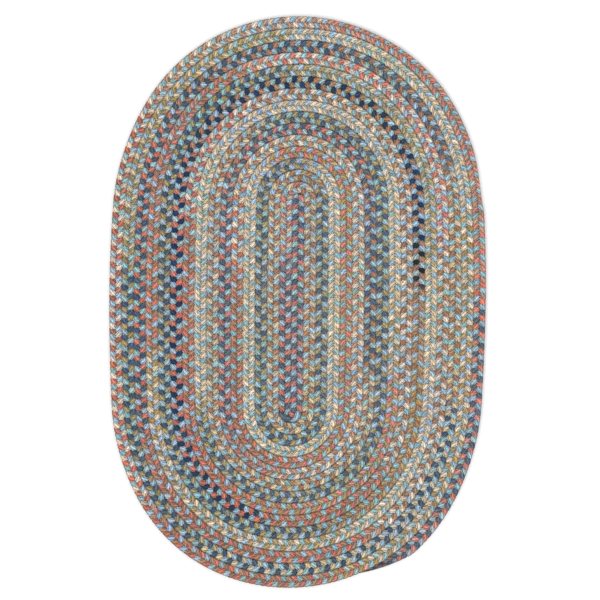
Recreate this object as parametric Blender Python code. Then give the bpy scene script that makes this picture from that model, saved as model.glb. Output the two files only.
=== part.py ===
"""Oval braided rug. One flat three-strand braid starts on a straight core, winds clockwise round it edge
to edge, and tapers into the rim. The rug is one solid: every round of the braid stands as a rounded ridge
between two spiral seams, the rim is rounded under, and the underside is flat.
"""

import math

import bmesh
import bpy
import numpy as np

# Driving dimensions, in metres. Seen from above, +Y runs up the rug and +X to its right.
ROUNDS = 15  # whole turns of the braid, before the part turn that ends in the tail
BRAID_WIDTH = 0.01935  # from seam to seam across one round
CORE_LENGTH = 0.3234  # the straight stretch that every round has on either side
CREST_HEIGHT = 0.0115  # the middle of the braid
SHOULDER_HEIGHT = 0.0102
SEAM_HEIGHT = 0.0072  # the groove between two rounds
RIM_HEIGHT = 0.0056  # where the outermost round is widest
UNDER_HEIGHT = 0.0016  # the lower end of the rim's steep side
UNDER_INSET = 0.0013
FOOT_INSET = 0.0040  # the flat underside starts this far inside the rim

# The tail: angles round the rug's bottom end, in degrees from its right side
TAIL_NARROWS = 50.0
TAIL_ENDS = 67.5

# How the rug lies: a slight lean of its length, and ends that draw in towards their shoulders
LEAN = 0.0095  # sideways shift for each metre up the rug
CORE_SHIFT = -0.0110  # the core lies left of the middle, because the right side has one round more
CORE_RISE = -0.0046  # and below it, because the top has half a round more
END_LIFT = 0.0072  # the innermost rounds lie this much further out at both ends
TOP_LIFT_REACH = 7.0  # braid widths over which that fades at the top
BOTTOM_LIFT_REACH = 4.2
SWELLS = (
    # middle of the stretch along Y, its reach, change of width as a share
    {"middle": 0.285, "reach": 0.140, "share": -0.032},
    {"middle": 0.030, "reach": 0.120, "share": 0.004},
    {"middle": -0.280, "reach": 0.140, "share": -0.029},
)

YARN_COLOUR = (0.27, 0.30, 0.27)  # linear, the mean of all the yarns
YARN_ROUGHNESS = 0.92

# Steps along the braid, and points across it
STRAIGHT_STEPS = 5
BEND_STEPS = 24
SHOULDER = 0.17  # how far across the braid its shoulders stand

TOP_Y = CORE_LENGTH / 2
BOTTOM_Y = -CORE_LENGTH / 2
STRETCH_STEPS = (STRAIGHT_STEPS, BEND_STEPS, STRAIGHT_STEPS, BEND_STEPS)
TURN_STEPS = sum(STRETCH_STEPS)
TAIL_STEPS = STRAIGHT_STEPS + round(BEND_STEPS * TAIL_ENDS / 180)
LAST_STEP = ROUNDS * TURN_STEPS + TAIL_STEPS
WELD = 1e-5
SHARP_ANGLE = math.radians(60)


def place_in_turn(step):
    """Which stretch of its turn a step is on (0 right, 1 bottom, 2 left, 3 top), and how far along it."""
    left = step % TURN_STEPS
    for stretch, steps in enumerate(STRETCH_STEPS):
        if left < steps:
            return stretch, left / steps
        left -= steps
    raise ValueError("a step lies past its turn")


def straight_ends(widths):
    """Where the seam this many widths out leaves its straight stretch at the top and at the bottom."""
    past = max(widths, 1) - 1
    top = TOP_Y + END_LIFT * math.exp(-((past / TOP_LIFT_REACH) ** 2))
    return top, BOTTOM_Y - END_LIFT * math.exp(-((past / BOTTOM_LIFT_REACH) ** 2))


def seam_point(widths, stretch, along):
    """Plan point on the seam that lies this many braid widths out from the core.

    The sides are straight and the bottom is a half circle about the core's lower end. The top is a half
    circle half a width larger, about a centre half a width to the right, and so carries the braid one
    round further out in each turn.
    """
    reach = widths * BRAID_WIDTH
    angle = math.pi * along
    top, bottom = straight_ends(widths)
    next_top = straight_ends(widths + 1)[0]
    if stretch == 0:
        return reach, top + (bottom - top) * along
    if stretch == 1:
        return reach * math.cos(angle), bottom - reach * math.sin(angle)
    if stretch == 2:
        return -reach, bottom + (next_top - bottom) * along
    wide = reach + BRAID_WIDTH / 2
    return BRAID_WIDTH / 2 - wide * math.cos(angle), next_top + wide * math.sin(angle)


def fullness(step):
    """The braid's width at a step, as a share: 1 up to the tail, then less, down to 0 at its end."""
    start = ROUNDS * TURN_STEPS + STRAIGHT_STEPS + BEND_STEPS * TAIL_NARROWS / 180
    return min(1.0, max(0.0, (LAST_STEP - step) / (LAST_STEP - start)))


def seam_height(step):
    """Height of the seam on the outer side of a step: a groove, or the rim where no round lies outside."""
    covered = fullness(step + TURN_STEPS) if step + TURN_STEPS <= LAST_STEP else 0.0
    return RIM_HEIGHT + (SEAM_HEIGHT - RIM_HEIGHT) * covered


def section(step):
    """The points across the braid's top at a step, from its inner seam to its outer one."""
    stretch, along = place_in_turn(step)
    widths = step // TURN_STEPS
    full = fullness(step)
    inner = np.array(seam_point(widths, stretch, along))
    outer = np.array(seam_point(widths + full, stretch, along))
    inner_height = SEAM_HEIGHT if step < TURN_STEPS else seam_height(step - TURN_STEPS)
    profile = (
        (0.0, inner_height),
        (SHOULDER, SHOULDER_HEIGHT),
        (0.5, CREST_HEIGHT),
        (1 - SHOULDER, SHOULDER_HEIGHT),
        (1.0, seam_height(step)),
    )
    points = []
    for across, height in profile:
        x, y = inner + (outer - inner) * across
        on_seam = across in (0.0, 1.0)
        points.append((x, y, height if on_seam else RIM_HEIGHT + (height - RIM_HEIGHT) * full))
    return points


def start_cap():
    """The rounded start of the braid, as half rings about the middle of its first section."""
    rings = (
        (BRAID_WIDTH / 2, SEAM_HEIGHT),
        (BRAID_WIDTH * (0.5 - SHOULDER), SHOULDER_HEIGHT),
        (0.0, CREST_HEIGHT),
    )
    top = straight_ends(0)[0]
    rows = []
    for index in range(BEND_STEPS + 1):
        angle = math.pi * index / BEND_STEPS
        ways = -math.cos(angle), math.sin(angle)
        rows.append([(BRAID_WIDTH / 2 + r * ways[0], top + r * ways[1], z) for r, z in rings])
    return rows


def rim_side(step):
    """The rim at a step, and under it the rounded side down to the foot."""
    stretch, along = place_in_turn(step)
    widths = step // TURN_STEPS
    inner = np.array(seam_point(widths, stretch, along))
    outer = np.array(seam_point(widths + 1, stretch, along))
    rim = np.array(seam_point(widths + fullness(step), stretch, along))
    inward = (inner - outer) / BRAID_WIDTH
    drop = ((0.0, RIM_HEIGHT), (UNDER_INSET, UNDER_HEIGHT), (FOOT_INSET, 0.0))
    return [(*(rim + inward * inset), height) for inset, height in drop]


def as_laid(points):
    """Moves the plan's points to where the rug lies: drawn in at its shoulders, and leaning a little."""
    placed = np.array(points, dtype=float)
    placed[:, 0] += CORE_SHIFT
    placed[:, 1] += CORE_RISE
    y = placed[:, 1]
    width = np.ones(len(y))
    for swell in SWELLS:
        width += swell["share"] * np.exp(-(((y - swell["middle"]) / swell["reach"]) ** 2))
    placed[:, 0] = placed[:, 0] * width + LEAN * y
    middle = (placed.min(axis=0) + placed.max(axis=0)) / 2
    placed[:, :2] -= middle[:2]
    return placed


def add_grid(points, faces, rows, close=False):
    """Adds rows of points with a face in each cell between them, and returns the rows' point numbers."""
    start, width = len(points), len(rows[0])
    for row in rows:
        points.extend(row)
    numbers = np.arange(len(rows) * width).reshape(len(rows), width) + start
    following = np.roll(numbers, -1, axis=0)
    for index in range(len(rows) if close else len(rows) - 1):
        here, there = numbers[index], following[index]
        for i in range(width - 1):
            faces.append((int(here[i]), int(here[i + 1]), int(there[i + 1]), int(there[i])))
    return numbers


def braid_cloth():
    """The braid's material: matt wool-blend yarn in the mean of its light blue and dyed strands."""
    material = bpy.data.materials.new("braid cloth")
    material.use_nodes = True
    shader = material.node_tree.nodes["Principled BSDF"]
    shader.inputs["Base Color"].default_value = (*YARN_COLOUR, 1.0)
    shader.inputs["Roughness"].default_value = YARN_ROUGHNESS
    shader.inputs["Metallic"].default_value = 0.0
    material.diffuse_color = (*YARN_COLOUR, 1.0)
    return material


def braided_rug():
    """The whole rug as one closed mesh."""
    points, faces = [], []
    add_grid(points, faces, [section(step) for step in range(LAST_STEP + 1)])
    add_grid(points, faces, start_cap())
    outermost = range(LAST_STEP - TURN_STEPS, LAST_STEP)
    sides = add_grid(points, faces, [rim_side(step) for step in outermost], close=True)
    faces.append([int(number) for number in sides[:, -1]])

    mesh = bpy.data.meshes.new("braided_rug")
    mesh.from_pydata(as_laid(points).tolist(), [], faces)
    shape = bmesh.new()
    shape.from_mesh(mesh)
    bmesh.ops.remove_doubles(shape, verts=shape.verts, dist=WELD)
    bmesh.ops.recalc_face_normals(shape, faces=shape.faces)
    shape.to_mesh(mesh)
    shape.free()
    mesh.shade_smooth()
    mesh.set_sharp_from_angle(angle=SHARP_ANGLE)
    mesh.materials.append(braid_cloth())
    return bpy.data.objects.new("braided_rug", mesh)


def main():
    for old in list(bpy.data.objects):
        bpy.data.objects.remove(old, do_unlink=True)
    parts = bpy.data.collections.new("braided rug")
    bpy.context.scene.collection.children.link(parts)
    parts.objects.link(braided_rug())


main()
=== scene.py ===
import math

import bpy
import numpy as np
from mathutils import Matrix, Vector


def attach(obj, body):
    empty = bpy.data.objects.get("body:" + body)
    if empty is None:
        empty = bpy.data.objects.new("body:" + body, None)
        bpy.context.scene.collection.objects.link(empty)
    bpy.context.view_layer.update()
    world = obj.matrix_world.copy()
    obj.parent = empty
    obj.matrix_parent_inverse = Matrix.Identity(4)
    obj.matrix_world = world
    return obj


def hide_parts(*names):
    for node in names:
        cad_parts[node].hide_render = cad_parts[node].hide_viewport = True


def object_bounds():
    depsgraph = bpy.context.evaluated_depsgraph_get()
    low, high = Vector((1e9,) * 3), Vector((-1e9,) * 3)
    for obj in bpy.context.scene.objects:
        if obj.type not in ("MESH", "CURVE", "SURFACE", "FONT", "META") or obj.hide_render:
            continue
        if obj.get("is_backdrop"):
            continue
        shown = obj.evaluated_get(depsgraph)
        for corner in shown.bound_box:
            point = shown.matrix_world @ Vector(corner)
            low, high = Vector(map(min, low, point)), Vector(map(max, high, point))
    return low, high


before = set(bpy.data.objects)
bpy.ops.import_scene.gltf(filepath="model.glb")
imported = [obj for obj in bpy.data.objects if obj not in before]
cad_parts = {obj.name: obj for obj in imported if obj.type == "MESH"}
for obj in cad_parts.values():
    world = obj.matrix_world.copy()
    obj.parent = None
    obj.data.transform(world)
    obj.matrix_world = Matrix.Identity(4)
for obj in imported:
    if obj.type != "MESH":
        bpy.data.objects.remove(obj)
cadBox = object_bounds()

# The rug's plan, in metres. The braid starts on a straight core and winds clockwise round it.
rug = {
    "braidWidth": 0.01935,  # from seam to seam across one round
    "coreLength": 0.3234,
    "endLift": 0.0072,  # the innermost rounds lie this much further out at both ends
    "topLiftReach": 7.0,  # braid widths over which that fades
    "bottomLiftReach": 4.2,
    "coreShift": -0.0110,
    "coreRise": -0.0046,
    "lean": 0.0095,  # sideways shift for each metre up the rug
    "swells": ((0.285, 0.140, -0.032), (0.030, 0.120, 0.004), (-0.280, 0.140, -0.029)),
    "tailNarrows": 61 + 50.0 / 180,  # stretches of the path, four to a turn
    "tailEnds": 61 + 67.5 / 180,
    "pathSteps": 120000,
    "rimSteps": 4000,
}
rimStarts = rug["tailEnds"] - 4  # the last turn of the path is the rug's rim

# The three-strand braid that the rug is wound from
braid = {
    "period": 0.0262,  # one strand's way from the outer edge and back to it
    "swing": 0.0076,  # how far a strand's middle goes to either side
    "straightness": 0.10,  # how straight it crosses, and how sharply it turns back at the edges
    "rise": 0.0027,  # how far it goes above and below the braid's middle
    "levelness": 0.42,  # how soon it reaches that height: 0 at once, and larger more gently
    "slant": 0.32,  # how much longer a strand takes to cross on top than below
    "lateness": 0.28,  # how long it stays up round the edge, as an angle
    "middleHeight": 0.00578,
    "halfWidth": 0.0047,  # of one strand
    "halfHeight": 0.0026,
    "seamInset": 0.0001,  # how far short of the seam a strand is pressed back
    "seamYields": 0.45,  # the share of what lies past it that stays there
    "bendHolds": 0.8,  # how much less of it stays in the bends
    "rimYields": 0.15,  # the share that stays at the rug's rim
    "rimPresses": ((59.66, 0.13, 0.0034), (59.975, 0.045, 0.0040)),  # dents: places, reaches, depths
    "squareness": 0.54,  # 1 is an oval section, and less is fuller at its corners
    "yarnRidge": 0.065,  # how far each yarn stands out, as a share of the strand's radius
    "plumpness": 0.06,  # random change of width from one lozenge to the next
    "wander": 0.0005,  # random shift along the braid
    "wanderReach": 0.11,
    "swingDrift": 0.03,  # random change of the swing, as a share
    "swingReach": 0.07,
    "startWidth": 0.35,  # a strand's share of its width at the very start of the braid
    "tailHeight": 0.6,  # and at the tail's end, of its middle's height
    "tailThickness": 0.55,  # and of its own thickness
    "beginsBefore": 0.48,  # how far before the core the braid starts, in braid widths
    "endsShort": 0.004,  # and how far before the tail's end it stops
    "stepsEachPeriod": 14,
    "closeness": 0.38,  # how much closer the steps lie where a strand is on top
    # points round a strand, in degrees from its side: most are on top, where every second one is a yarn
    "ring": (-90, -45, 0, 20, 46, 71, 90, 109, 134, 160, 180, 225),
    "splitAt": 12.25,  # metres along the braid where its inner and outer lengths meet
    "splitSteps": 400,  # of the search for the lowest point there
    "seed": 41,
}
yarnCount = len(braid["ring"]) // 2

# How many millimetres the lozenges slip back over each stretch, against an even pitch: the bends are laced
# fuller than the straights, and the straights looser the further out they lie
crowding = {
    "start": 3.2,
    "stretches": (-0.7, -4.8, 1.2, -9.5),  # right, bottom, left and top
    "outward": (5.2, 0.0, 4.1, 0.0),  # change from the middle round to the outermost
    "tightTurn": (-5.9, 11.9, -6.3, 3.2),  # the first, round the end of the core
}

# Dyes as 0-255 screen values, and where each begins along the braid, in metres
dyes = {
    "teal": (145, 183, 184),
    "periwinkle": (155, 178, 199),
    "navy": (66, 86, 107),
    "slate": (85, 98, 115),
    "deepNavy": (22, 50, 84),
    "black": (22, 25, 32),
    "coral": (200, 127, 113),
    "red": (188, 112, 98),
    "rose": (184, 120, 112),
    "rust": (185, 116, 94),
    "brick": (176, 104, 84),
    "brown": (160, 120, 97),
    "clay": (176, 138, 116),
    "cream": (219, 202, 180),
    "pinkCream": (217, 200, 182),
    "tan": (199, 182, 152),
    "olive": (158, 145, 109),
    "gold": (169, 144, 104),
    "moss": (153, 138, 99),
}
strandDyes = {
    "blue": ((0.0, "teal"),),
    "first": (
        (0.0, "slate"), (0.61, "tan"), (1.58, "olive"), (2.59, "cream"), (3.62, "coral"), (4.25, "rust"),
        (4.74, "clay"), (5.62, "slate"), (6.65, "tan"), (7.58, "olive"), (8.62, "pinkCream"),
        (9.68, "coral"), (10.00, "red"), (10.76, "brown"), (11.77, "deepNavy"), (13.005, "black"),
        (13.07, "gold"), (13.45, "olive"), (14.00, "moss"), (14.45, "olive"), (14.98, "cream"),
        (15.98, "coral"), (17.00, "brown"), (17.96, "navy"), (18.80, "slate"), (19.06, "tan"),
        (20.00, "moss"), (20.99, "cream"), (22.06, "red"), (22.66, "brick"), (23.11, "clay"),
        (23.99, "slate"),
    ),
    "second": (
        (0.0, "rose"), (0.73, "brown"), (1.63, "slate"), (2.57, "tan"), (3.60, "gold"), (4.22, "brown"),
        (4.60, "cream"), (5.52, "rose"), (6.30, "brown"), (7.56, "slate"), (8.61, "tan"), (9.56, "gold"),
        (10.08, "brown"), (10.55, "pinkCream"), (11.55, "red"), (12.42, "brown"), (13.52, "navy"),
        (14.53, "tan"), (15.44, "gold"), (15.98, "brown"), (16.50, "pinkCream"), (17.50, "red"),
        (18.50, "brown"), (19.44, "navy"), (20.47, "tan"), (21.44, "gold"), (22.12, "brown"),
        (22.44, "pinkCream"), (23.42, "coral"),
    ),
}


def straightEnds(widths):
    # Where a seam this many widths out leaves its straight stretch, at the top and at the bottom:
    # half the core, and a lift that falls off as exp(-(widths / reach) squared)
    past = np.maximum(widths, 1) - 1
    top = rug["coreLength"] / 2 + rug["endLift"] * np.exp(-((past / rug["topLiftReach"]) ** 2))
    bottom = -rug["coreLength"] / 2 - rug["endLift"] * np.exp(-((past / rug["bottomLiftReach"]) ** 2))
    return top, bottom


def planPoint(place, across):
    # Plan point at a place along the path (whole numbers are the starts of its stretches, in turn right,
    # bottom, left and top) and a share across the braid. The sides are straight, the bottom is a half
    # circle, and the top a half circle half a width larger about a centre half a width to the right.
    whole = np.maximum(np.floor(place), 0)
    along = place - whole
    turn, stretch = np.divmod(whole, 4)
    widths = turn + across
    reach = widths * rug["braidWidth"]
    wide = reach + rug["braidWidth"] / 2
    angle = np.pi * along
    top, bottom = straightEnds(widths)
    nextTop = straightEnds(widths + 1)[0]
    on = [stretch == 0, stretch == 1, stretch == 2]
    x = np.select(on, [reach, reach * np.cos(angle), -reach], rug["braidWidth"] / 2 - wide * np.cos(angle))
    y = np.select(
        on,
        [top + (bottom - top) * along, bottom - reach * np.sin(angle), bottom + (nextTop - bottom) * along],
        nextTop + wide * np.sin(angle),
    )
    return asLaid(x, y)


def asLaid(x, y):
    # The plan moved to where the rug lies: width times 1 plus a bell of each swell, and a lean of x with y
    x, y = x + rug["coreShift"], y + rug["coreRise"]
    swells = [share * np.exp(-(((y - middle) / reach) ** 2)) for middle, reach, share in rug["swells"]]
    return x * (1 + sum(swells)) + rug["lean"] * y, y


def fullness(place):
    # The braid's width as a share: 1 up to the tail, then a straight line down to 0 at its end
    return np.clip((rug["tailEnds"] - place) / (rug["tailEnds"] - rug["tailNarrows"]), 0, 1)


def grown(least, share):
    # A straight line from the least to 1, as the share goes from 0 to 1
    return least + (1 - least) * share


def bend(place):
    # 1 in the bends and 0 on the straights, rising and falling over a quarter of each bend
    along = place % 1
    return np.where(np.floor(place) % 2 == 1, np.clip(4 * np.minimum(along, 1 - along), 0, 1), 0)


# The path as a table of places and distances along the braid's middle
tablePlaces = np.linspace(0, rug["tailEnds"], rug["pathSteps"] + 1)
tableX, tableY = planPoint(tablePlaces, 0.5 * fullness(tablePlaces))
tableLengths = np.concatenate([[0], np.cumsum(np.hypot(np.diff(tableX), np.diff(tableY)))])
braidLength = tableLengths[-1]

# The rim's outline gives the rug's middle, which is at the origin, and its area
rimPlaces = np.linspace(rimStarts, rug["tailEnds"], rug["rimSteps"] + 1)
rimX, rimY = planPoint(rimPlaces, fullness(rimPlaces))
middleX, middleY = (rimX.min() + rimX.max()) / 2, (rimY.min() + rimY.max()) / 2
rugArea = abs(np.sum(rimX * np.roll(rimY, -1) - rimY * np.roll(rimX, -1))) / 2
print(f"path: the braid is {braidLength:.2f} m long and the rug covers {rugArea:.3f} square metres")


def placeAt(distance):
    # Place on the path from a distance along the braid; before the start it goes straight on up the core
    before = np.minimum(distance, 0) / rug["coreLength"]
    return np.interp(distance, tableLengths, tablePlaces) + before


# How far the lozenges have slipped from an even pitch at the start of each stretch, in metres
turns = np.arange(1, rug["tailEnds"] // 4 + 1)[:, None]
outward = 2 * turns / len(turns) - 1
turnSlips = np.array(crowding["stretches"]) + np.array(crowding["outward"]) * outward
turnSlips = np.concatenate([[crowding["start"]], crowding["tightTurn"], turnSlips.ravel()])
slips = np.cumsum(turnSlips) / 1000


def braidAngle(distance, phase):
    # How far a strand is through its crossings: a full turn each period, counted without the slip, and
    # slowed by cos(2a) where it crosses on top, so that the lozenges slant
    slip = np.interp(placeAt(distance), np.arange(len(slips)), slips)
    even = 2 * np.pi * (distance - slip) / braid["period"] + phase
    return even + 0.5 * braid["slant"] * np.cos(2 * even)


def linear(colour):
    # Screen values 0-255 to linear light, by the usual curve of screens: a straight line, then a power
    share = np.asarray(colour, float) / 255
    return np.where(share <= 0.04045, share / 12.92, ((share + 0.055) / 1.055) ** 2.4)


driftLengths = (1.0, 0.62, 1.73, 0.41)  # of its four waves, as shares of its reach
driftPeak = 2.2  # about the most that they add up to


def drift(distance, seed, reach):
    # A smooth random line between about -1 and 1: the sum of sines of unlike lengths with seeded phases
    lengths = reach * np.array(driftLengths)
    phases = np.random.default_rng(seed).uniform(0, 2 * np.pi, len(lengths))
    waves = [np.sin(2 * np.pi * distance / length + phase) for length, phase in zip(lengths, phases)]
    return sum(waves) / driftPeak


def dyeAlong(distance, runs):
    # Screen colour at each distance: the dye of its run, and a straight line to the next one at a change
    blend = dyeing["blend"]
    starts = np.array([start for start, name in runs])
    colours = np.array([dyes[name] for start, name in runs], float)
    knots = np.concatenate([[starts[0]], np.stack([starts[1:] - blend, starts[1:] + blend], 1).ravel()])
    shades = np.concatenate([colours[:1], np.stack([colours[:-1], colours[1:]], 1).reshape(-1, 3)])
    return np.stack([np.interp(distance, knots, shades[:, i]) for i in range(3)], -1)


def meshObject(name, points, faces, material):
    # A mesh of points and four-sided faces, both given as whole arrays
    mesh = bpy.data.meshes.new(name)
    mesh.vertices.add(len(points))
    mesh.vertices.foreach_set("co", points.astype(np.float32).ravel())
    mesh.loops.add(faces.size)
    mesh.loops.foreach_set("vertex_index", faces.astype(np.int32).ravel())
    mesh.polygons.add(len(faces))
    mesh.polygons.foreach_set("loop_start", np.arange(len(faces), dtype=np.int32) * 4)
    mesh.update(calc_edges=True)
    mesh.shade_smooth()
    mesh.materials.append(material)
    piece = bpy.data.objects.new(name, mesh)
    bpy.context.scene.collection.objects.link(piece)
    return piece


def sectionPoints(centres, halfWidths, halfHeights, ring, ridge):
    # Rings of an oval section carried along a line, in the braid's own space. Each ring is centre +
    # sideways * halfWidth * cos(a) + upward * halfHeight * sin(a), with both brought nearer to 1 by the
    # squareness as a power, and every second point drawn in, so that the points between stand out as yarns.
    ahead = np.gradient(centres, axis=0)
    ahead /= np.linalg.norm(ahead, axis=1, keepdims=True)
    sideways = np.cross(ahead, (0.0, 0.0, 1.0))
    sideways /= np.linalg.norm(sideways, axis=1, keepdims=True)
    upward = np.cross(sideways, ahead)
    angle = np.radians(ring)
    radius = 1 + ridge * np.where(np.arange(len(ring)) % 2 == 0, 1, -1)
    fuller = lambda share: np.sign(share) * np.abs(share) ** braid["squareness"]
    across = (halfWidths[:, None] * fuller(np.cos(angle)) * radius)[..., None]
    high = (halfHeights[:, None] * fuller(np.sin(angle)) * radius)[..., None]
    return centres[:, None] + sideways[:, None] * across + upward[:, None] * high


def fromBraid(points):
    # Points given as distance along the braid, to its outer side, and height, placed on the rug. What
    # lies past a seam is pressed back to it but for a share, which is small in the bends and at the rim.
    # Each dent in the rim is a bell of the place.
    distance, outer, height = points[..., 0], points[..., 1], points[..., 2]
    place = placeAt(distance)
    yields = braid["seamYields"] * (1 - braid["bendHolds"] * bend(place))
    yields = np.where((outer > 0) & (place > rimStarts), braid["rimYields"], yields)
    dents = sum(depth * np.exp(-(((place - at) / reach) ** 2)) for at, reach, depth in braid["rimPresses"])
    limit = rug["braidWidth"] / 2 - braid["seamInset"] - np.where(outer > 0, dents, 0)
    past = np.maximum(np.abs(outer) - limit, 0)
    outer = outer - np.sign(outer) * past * (1 - yields)
    x, y = planPoint(place, fullness(place) * (0.5 + outer / rug["braidWidth"]))
    return np.stack([x - middleX, y - middleY, height], -1)


bake = {"rows": 32, "inset": 0.06}  # rows of the bake's map, and the share of each left free at both sides


def tubeObject(name, centres, points, material):
    # A tube through rings of points, with both ends closed by four-sided faces
    count, sides = points.shape[:2]
    ring, step = np.meshgrid(np.arange(sides), np.arange(count - 1))
    corner = lambda i, j: i * sides + j % sides
    near = [corner(step, ring), corner(step, ring + 1)]
    far = [corner(step + 1, ring + 1), corner(step + 1, ring)]
    half = np.arange(sides // 2 - 1)
    cap = np.stack([half, sides - 1 - half, sides - 2 - half, half + 1], -1)
    endCap = (cap + (count - 1) * sides)[:, ::-1]
    faces = np.concatenate([np.stack(near + far, -1).reshape(-1, 4), cap, endCap])
    piece = meshObject(name, points.reshape(-1, 3), faces, material)

    # The map for the yarns: metres along the strand, and the share of a turn round it
    lengths = np.concatenate([[0], np.cumsum(np.linalg.norm(np.diff(centres, axis=0), axis=1))])
    along = np.stack([lengths[step], lengths[step], lengths[step + 1], lengths[step + 1]], -1)
    turn = np.stack([ring, ring + 1, ring + 1, ring], -1) / sides
    capAlong = np.repeat([[0.0], [lengths[-1]]], len(cap), 0) * np.ones(4)
    capTurn = np.concatenate([cap, cap[:, ::-1]]) / sides
    yarnAlong = np.concatenate([along.reshape(-1, 4), capAlong])
    yarnTurn = np.concatenate([turn.reshape(-1, 4), capTurn])

    # The map for the bake: the same, cut into rows that fill the unit square
    rows, inset = bake["rows"], bake["inset"]
    each = math.ceil((count - 1) / rows)
    row = step // each
    first = (step - row * each) / each
    rowAlong = np.stack([first, first, first + 1 / each, first + 1 / each], -1)
    rowAcross = (row[..., None] + inset + (1 - 2 * inset) * turn) / rows
    lastRow = (count - 2) // each
    capRow = np.concatenate([np.zeros((len(cap), 1)), np.full((len(cap), 1), lastRow)])
    capEnd = np.repeat([[0.0], [(count - 1 - lastRow * each) / each]], len(cap), 0) * np.ones(4)
    capAcross = (capRow + inset + (1 - 2 * inset) * capTurn) / rows
    bakeAlong = np.concatenate([rowAlong.reshape(-1, 4), capEnd])
    bakeAcross = np.concatenate([rowAcross.reshape(-1, 4), capAcross])
    for title, u, v in (("Yarn", yarnAlong, yarnTurn), ("OFBake", bakeAlong, bakeAcross)):
        layer = piece.data.uv_layers.new(name=title)
        layer.uv.foreach_set("vector", np.stack([u, v], -1).astype(np.float32).ravel())
    return piece


# Wraps a socket, so that sums and products of values add their Math nodes
class Value:
    def __init__(self, paint, socket):
        self.paint, self.socket = paint, socket

    def math(self, operation, first, second):
        return self.paint.node("ShaderNodeMath", {"operation": operation}, {0: first, 1: second})

    def __add__(self, other):
        return self.math("ADD", self, other)

    def __radd__(self, other):
        return self.math("ADD", other, self)

    def __sub__(self, other):
        return self.math("SUBTRACT", self, other)

    def __rsub__(self, other):
        return self.math("SUBTRACT", other, self)

    def __mul__(self, other):
        return self.math("MULTIPLY", self, other)

    def __pow__(self, other):
        return self.math("POWER", self, other)


# A material's nodes, all made by one method
class Paint:
    def __init__(self, name):
        self.material = bpy.data.materials.new(name)
        self.material.use_nodes = True
        self.tree = self.material.node_tree
        self.shader = self.tree.nodes["Principled BSDF"]

    def node(self, kind, settings, inputs, output=0):
        made = self.tree.nodes.new(kind)
        for key, value in settings.items():
            setattr(made, key, value)
        for key, value in inputs.items():
            self.put(made.inputs[key], value)
        return Value(self, made.outputs[output])

    def put(self, socket, value):
        if isinstance(value, Value):
            self.tree.links.new(value.socket, socket)
        else:
            socket.default_value = value

    def set(self, **inputs):
        for key, value in inputs.items():
            self.put(self.shader.inputs[key.replace("_", " ")], value)

    def noise(self, dimensions, vector, scale, detail):
        return self.node(
            "ShaderNodeTexNoise",
            {"noise_dimensions": dimensions},
            {"Vector": vector, "Scale": scale, "Detail": detail, "Roughness": wool["noiseRoughness"]},
        )

    def wave(self, operation, angle):
        return self.node("ShaderNodeMath", {"operation": operation}, {0: angle})

    def multiplied(self, colour, tone):
        return self.node(
            "ShaderNodeMix",
            {"data_type": "RGBA", "blend_type": "MULTIPLY"},
            {"Factor": 1.0, 6: colour, 7: tone},
            output=2,
        )


# The wool of one strand. Lengths on a yarn are in metres and turns are round the strand.
wool = {
    "fuzz": 1.3,  # how much tufts of fuzz lighten and darken a yarn
    "fibres": 1.1,  # and the same for long fibres
    "streaks": 1.0,  # for short fibres that follow the twist
    "hair": 0.8,  # and for single hairs
    "fuzzScale": 430.0,  # how many of each there are to a metre, about
    "hairScale": 2600.0,
    "fibreScale": (300.0, 22.0),  # the same along a yarn, and to a turn
    "streakScale": (420.0, 110.0),
    "streakSlant": 60.0,
    "noiseDetail": 3.0,
    "fineDetail": 2.0,  # of the hairs and streaks
    "noiseRoughness": 0.6,
    "grooveShade": 0.25,  # painted shade: how much darker it gets towards the next yarn, in the crease between them
    "groovePower": 2.0,  # the higher, the narrower
    "slitShade": 0.48,  # and how much more painted shade in the narrow slit between two
    "slitPower": 6.0,
    "ply": 0.0042,  # metres along a yarn for one turn of its twist
    "plyShade": 0.25,  # painted shade: how much darker it is between the plies
    "plyPower": 4.0,
    "darkest": 0.22,  # the share of light that is left at the darkest
    "tuftPush": 1.6,  # how far tufts push the yarns' edges aside, as an angle
    "hairPush": 0.9,  # and single hairs
    "heights": {"yarn": 0.6, "ply": 0.35, "streaks": 0.7, "hair": 0.3, "fuzz": 0.2},  # in the bump
    "bump": 0.75,
    "bumpHeight": 0.0005,
    "roughness": 0.92,
    "sheen": 0.12,
    "sheenRoughness": 0.6,
    "gloss": 0.15,
}


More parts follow.
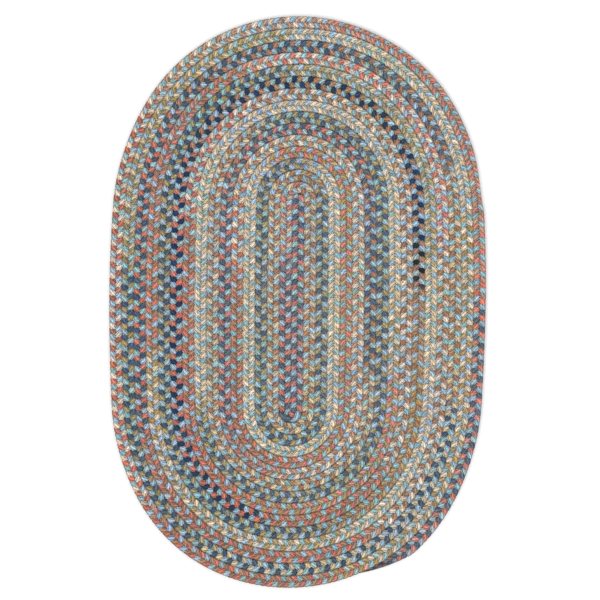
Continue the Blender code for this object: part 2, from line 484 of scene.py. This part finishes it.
def woolYarn(name):
    # Dyed plied wool: the dye times a light that starts at 1, goes up and down with four noises, and falls
    # by powers of the depth between yarns and between plies, as painted shade in those creases. A yarn's
    # ridge is the cosine of its turn, and its ply the sine of that turn and the way along it. The same
    # waves and noises are added up as bump.
    paint = Paint(name)
    dye = paint.node("ShaderNodeAttribute", {"attribute_name": "dye"}, {})
    yarnMap = paint.node("ShaderNodeUVMap", {"uv_map": "Yarn"}, {})
    place = paint.node("ShaderNodeTexCoord", {}, {}, output=3)
    along = paint.node("ShaderNodeSeparateXYZ", {}, {0: yarnMap}, output=0)
    around = paint.node("ShaderNodeSeparateXYZ", {}, {0: yarnMap}, output=1)

    fuzz = paint.noise("3D", place, wool["fuzzScale"], wool["noiseDetail"])
    hair = paint.noise("3D", place, wool["hairScale"], wool["fineDetail"])
    lengthwise, sideways = wool["fibreScale"]
    drawn = paint.node("ShaderNodeCombineXYZ", {}, {0: along * lengthwise, 1: around * sideways})
    fibres = paint.noise("2D", drawn, 1.0, wool["noiseDetail"])
    lengthwise, sideways = wool["streakScale"]
    slanted = along * lengthwise + around * wool["streakSlant"]
    drawn = paint.node("ShaderNodeCombineXYZ", {}, {0: slanted, 1: around * sideways})
    streaks = paint.noise("2D", drawn, 1.0, wool["fineDetail"])

    pushed = (fuzz - 0.5) * wool["tuftPush"] + (hair - 0.5) * wool["hairPush"]
    turn = around * (yarnCount * 2 * math.pi) + pushed
    ridge = paint.wave("COSINE", turn)
    twist = paint.wave("SINE", along * (2 * math.pi / wool["ply"]) + turn)
    dip = 0.5 - ridge * 0.5
    between = 0.5 - twist * 0.5

    light = 1.0 + (fuzz - 0.5) * wool["fuzz"] + (fibres - 0.5) * wool["fibres"]
    light = light + (streaks - 0.5) * wool["streaks"] + (hair - 0.5) * wool["hair"]
    # painted shade in the creases between yarns and between plies
    light = light - dip ** wool["groovePower"] * wool["grooveShade"] - dip ** wool["slitPower"] * wool["slitShade"]
    light = light - between ** wool["plyPower"] * wool["plyShade"]
    least = wool["darkest"]
    light = paint.node("ShaderNodeMath", {"operation": "SMOOTH_MAX"}, {0: light, 1: least, 2: least})
    tone = paint.node("ShaderNodeCombineXYZ", {}, {0: light, 1: light, 2: light})
    colour = paint.multiplied(dye, tone)

    heights = wool["heights"]
    relief = ridge * heights["yarn"] + twist * heights["ply"] + streaks * heights["streaks"]
    relief = relief + hair * heights["hair"] + fuzz * heights["fuzz"]
    bumpInputs = {"Strength": wool["bump"], "Distance": wool["bumpHeight"], "Height": relief}
    bump = paint.node("ShaderNodeBump", {}, bumpInputs)
    paint.set(Base_Color=colour, Normal=bump, Roughness=wool["roughness"])
    paint.set(Sheen_Weight=wool["sheen"], Sheen_Roughness=wool["sheenRoughness"])
    paint.set(Specular_IOR_Level=wool["gloss"])
    return paint.material


def strandCentres(distance, phase, seed):
    # One strand of the braid, in its own space: outward = swing * (sin(a) - straightness * sin(3a)) and
    # height = middle + rise * sin(2a) made more level and a little late, where a grows by a full turn each
    # period, so the strand lies on top as it goes from the middle outward. At the start of the braid all
    # shrink as a half circle does, and at the tail's end in a straight line.
    angle = braidAngle(distance + braid["wander"] * drift(distance, seed, braid["wanderReach"]), phase)
    start = np.sqrt(np.clip(1 - (np.minimum(distance, 0) / (rug["braidWidth"] / 2)) ** 2, 0, 1))
    full = fullness(placeAt(distance))
    drifted = 1 + braid["swingDrift"] * drift(distance, seed + 1, braid["swingReach"])
    swing = braid["swing"] * drifted / (1 + braid["straightness"])
    outer = start * swing * (np.sin(angle) - braid["straightness"] * np.sin(3 * angle))
    up = np.sin(2 * (angle - braid["lateness"]))
    wave = up * np.sqrt((1 + braid["levelness"] ** 2) / (up**2 + braid["levelness"] ** 2))
    height = braid["middleHeight"] * grown(braid["tailHeight"], full) + start * full * braid["rise"] * wave
    random = np.random.default_rng(seed + 2)
    lozenge = np.floor(angle / np.pi).astype(int)
    lozenge -= lozenge.min()
    plump = 1 + braid["plumpness"] * random.uniform(-1, 1, lozenge.max() + 1)[lozenge] * np.sin(angle) ** 2
    width = grown(braid["startWidth"], start) * plump
    thickness = width * grown(braid["tailThickness"], full)
    return np.stack([distance, outer, height], -1), width, thickness, lozenge


# How the dyed wool changes from yarn to yarn and from lozenge to lozenge, and the painted shade in the gaps
# and seams
dyeing = {
    "blend": 0.012,  # metres before and after a change of dye over which the two cross
    "earliness": 0.02,  # how much sooner or later one yarn changes than another
    "wander": (0.012, 0.9),  # and how much that drifts, over what length
    "tint": (0.5, 0.5, 0.55),  # from teal to periwinkle: the middle, its drift and the length of that
    "tintChange": (0.25, 0.3),  # and its random change for a lozenge and for a yarn
    "hueReaches": (0.31, 0.47),  # lengths over which strength and warmth drift
    "hueDrift": 0.9,
    "hueChange": (0.5, 0.4),  # random change of both for a lozenge, and a yarn's own share
    "strength": 0.28,  # how much stronger or weaker a colour gets
    "warmth": 6,  # and how much warmer or cooler, in screen values
    "warmer": (1.0, 0.2, -1.2),
    "paleYarns": 0.15,  # how near to cream the palest yarns come
    "yarnShades": 0.08,  # how much lighter or darker single yarns are
    "lozengeShades": 0.04,  # and whole lozenges
    "brightness": 1.025,  # makes up for the painted shade between yarns and in the gaps
    "paintedGapShade": 0.32,  # painted shade: how much darker the wool is painted in the gaps between lozenges, where shade falls
    "paintedShadeHeights": (0.0098, 0.0080),  # heights where that painted shade begins and is full
    "paintedSeamShadeReach": (0.0088, 0.0104),  # and distances from the braid's middle
    "bentSeamShade": 0.9,  # how dark the painted shade in a seam is in the bends, against a gap
}


def strandColours(distance, lozenge, runs, seed, depth):
    # The yarns round a strand are two of each of three. Each changes dye a little before or after the
    # others, and has its own shade: brightness * (1 + lozenge's change + yarn's change). The points between
    # take the mean of their neighbours, and all get painted shade, darker the deeper they lie between the
    # lozenges. Worked out in screen values, given as linear light.
    random = np.random.default_rng(seed)
    count = lozenge.max() + 1
    offsets = random.uniform(-dyeing["earliness"], dyeing["earliness"], 3)
    middle, tintDrift, tintReach = dyeing["tint"]
    lozengeTint, yarnTint = dyeing["tintChange"]
    tint = middle + tintDrift * drift(distance, seed + 11, tintReach)
    tint = tint + lozengeTint * random.uniform(-1, 1, count)[lozenge]
    whole = random.uniform(-1, 1, count)[lozenge]
    slow = np.stack([drift(distance, seed + 12 + i, dyeing["hueReaches"][i]) for i in range(2)], -1)
    lozengeHue, yarnHue = dyeing["hueChange"]
    hue = lozengeHue * random.uniform(-1, 1, (count, 2))[lozenge] + dyeing["hueDrift"] * slow
    wander, wanderReach = dyeing["wander"]
    peaks = []
    for yarn in range(yarnCount):
        shifted = distance + offsets[yarn % 3] + wander * drift(distance, seed + yarn, wanderReach)
        colour = dyeAlong(shifted, runs)
        own = random.uniform(-1, 1, count)[lozenge]
        if len(runs) == 1:
            mixed = np.clip(tint + yarnTint * own, 0, 1)[:, None]
            colour = colour * (1 - mixed) + np.array(dyes["periwinkle"]) * mixed
        pale = dyeing["paleYarns"] * random.uniform(0, 1, count)[lozenge][:, None] ** 2
        colour = colour * (1 - pale) + np.array(dyes["cream"]) * pale
        shade = dyeing["brightness"] * (1 + dyeing["lozengeShades"] * whole + dyeing["yarnShades"] * own)
        strays = (1 - yarnHue) * hue + yarnHue * random.uniform(-1, 1, (count, 2))[lozenge]
        grey = colour.mean(1, keepdims=True)
        colour = grey + (colour - grey) * (1 + dyeing["strength"] * strays[:, :1])
        colour = colour + strays[:, 1:] * dyeing["warmth"] * np.array(dyeing["warmer"])
        peaks.append(colour * shade[:, None])
    peaks = np.stack(peaks, 1)
    between = (peaks + np.roll(peaks, -1, 1)) / 2
    around = np.stack([peaks, between], 2).reshape(len(distance), 2 * yarnCount, 3)
    # painted shade: the colour is darkened by the depth in the gaps and seams, where shade falls
    return linear(np.clip(around * (1 - dyeing["paintedGapShade"] * depth[..., None]), 0, 255))


def paintedShadeDepth(points):
    # How deep each point lies in the gaps, which sets the painted shade there: 0 at the upper height and
    # above, 1 at the lower and below, and the same across the last stretch before a seam, where the bends
    # pull it open
    top, bottom = dyeing["paintedShadeHeights"]
    under = np.clip((top - points[..., 2]) / (top - bottom), 0, 1)
    inner, seam = dyeing["paintedSeamShadeReach"]
    beside = np.clip((np.abs(points[..., 1]) - inner) / (seam - inner), 0, 1)
    return np.maximum(under, beside * dyeing["bentSeamShade"] * bend(placeAt(points[..., 0])))


def addDye(piece, colours):
    # The colours as a point attribute
    attribute = piece.data.attributes.new("dye", "FLOAT_COLOR", "POINT")
    full = np.ones((colours.size // 3, 4), np.float32)
    full[:, :3] = colours.reshape(-1, 3)
    attribute.data.foreach_set("color", full.ravel())


yarn = woolYarn("dyed wool yarn")
stepLength = braid["period"] / braid["stepsEachPeriod"]
for number, strand in enumerate(("blue", "first", "second")):
    phase = -2 * np.pi * number / 3
    seed = braid["seed"] + 20 * number
    # the two lengths meet at the lowest point of the period after splitAt, under the other strands
    near = np.linspace(braid["splitAt"], braid["splitAt"] + braid["period"], braid["splitSteps"] + 1)
    split = near[np.argmin(np.sin(2 * (braidAngle(near, phase) - braid["lateness"])))]
    start, stop = -braid["beginsBefore"] * rug["braidWidth"], braidLength - braid["endsShort"]
    for part, begin, end in (("core", start, split), ("rim", split, stop)):
        # even steps, moved by a cosine of the height's angle towards where the strand is on top
        distance = np.linspace(begin, end, round((end - begin) / stepLength) + 1)
        angle = 2 * (braidAngle(distance, phase) - braid["lateness"])
        distance = distance + braid["closeness"] * braid["period"] / (4 * np.pi) * np.cos(angle)
        centres, width, thickness, lozenge = strandCentres(distance, phase, seed)
        halfWidths, halfHeights = braid["halfWidth"] * width, braid["halfHeight"] * thickness
        points = sectionPoints(centres, halfWidths, halfHeights, braid["ring"], braid["yarnRidge"])
        piece = tubeObject(f"{strand}_strand_{part}", centres, fromBraid(points), yarn)
        addDye(piece, strandColours(distance, lozenge, strandDyes[strand], seed, paintedShadeDepth(points)))
        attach(piece, "root")
        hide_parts("braided_rug")
        print(f"strand: {piece.name} has {len(piece.data.polygons)} faces")

# The inside of the braid, where the strands cross: it shows only between them, and its dark colour is
# painted shade for the shadow in those gaps
inside = {
    "halfWidth": 0.0094,
    "halfHeight": 0.0018,
    "middleHeight": 0.0046,
    "ring": (-90, -30, 30, 90, 150, 210),
    # painted shade: a dark brown standing for the shadow deep in the gaps
    "colour": (104, 94, 82),
    "stepsEachStretch": 22,
    "ends": (0.002, 0.01),  # how far inside the path it starts and stops, in stretches
    "tailThickness": 0.2,
}

start, stop = inside["ends"][0], rug["tailEnds"] - inside["ends"][1]
places = np.linspace(start, stop, round(rug["tailEnds"] * inside["stepsEachStretch"]))
distance = np.interp(places, tablePlaces, tableLengths)
centres = np.stack([distance, np.zeros(len(places)), np.full(len(places), inside["middleHeight"])], -1)
halfWidths = np.full(len(places), inside["halfWidth"])
halfHeights = inside["halfHeight"] * grown(inside["tailThickness"], fullness(places))
points = sectionPoints(centres, halfWidths, halfHeights, inside["ring"], 0.0)
insidePiece = tubeObject("braid_inside_painted_shade", centres, fromBraid(points), yarn)
addDye(insidePiece, np.broadcast_to(linear(inside["colour"]), (len(places), len(inside["ring"]), 3)))
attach(insidePiece, "root")
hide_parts("braided_rug")
print(f"inside: {len(insidePiece.data.polygons)} faces")

# Floor, light and camera
studio = {
    "floorColour": (0.90, 0.90, 0.90, 1.0),
    "floorRoughness": 0.8,
    "floorReach": 6.0,
    "skyColour": (1, 1, 1, 1),
    "skyStrength": 1.0,
    "sunStrength": 1.1,
    "sunSize": math.radians(40),
    "sunTilt": (math.radians(20), math.radians(-12), 0),
    "cameraPlace": (0.0039, 0.0030, 3.0),
    "frameWidth": 0.962,  # metres of floor across the picture
    "sensorWidth": 36.0,  # millimetres
}

floorPaint = Paint("pale floor")
floorPaint.set(Base_Color=studio["floorColour"], Roughness=studio["floorRoughness"])
floorCorners = studio["floorReach"] * np.array([(-1, -1, 0), (1, -1, 0), (1, 1, 0), (-1, 1, 0)])
floor = meshObject("floor", floorCorners, np.array([[0, 1, 2, 3]]), floorPaint.material)
floor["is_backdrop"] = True

world = bpy.data.worlds.new("studio")
world.use_nodes = True
background = world.node_tree.nodes["Background"]
background.inputs["Color"].default_value = studio["skyColour"]
background.inputs["Strength"].default_value = studio["skyStrength"]
bpy.context.scene.world = world
sun = bpy.data.lights.new("sun", "SUN")
sun.energy, sun.angle = studio["sunStrength"], studio["sunSize"]
sunObject = bpy.data.objects.new("sun", sun)
sunObject.rotation_euler = studio["sunTilt"]
bpy.context.scene.collection.objects.link(sunObject)

camera = bpy.data.cameras.new("camera")
camera.sensor_width = studio["sensorWidth"]
camera.lens = camera.sensor_width * studio["cameraPlace"][2] / studio["frameWidth"]
cameraObject = bpy.data.objects.new("camera", camera)
cameraObject.location = studio["cameraPlace"]
bpy.context.scene.collection.objects.link(cameraObject)
bpy.context.scene.camera = cameraObject
bpy.context.scene.view_settings.view_transform = "Standard"
print("studio: floor, sky, sun and camera are set")

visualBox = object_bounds()
{"cad": [list(corner) for corner in cadBox], "visual": [list(corner) for corner in visualBox]}
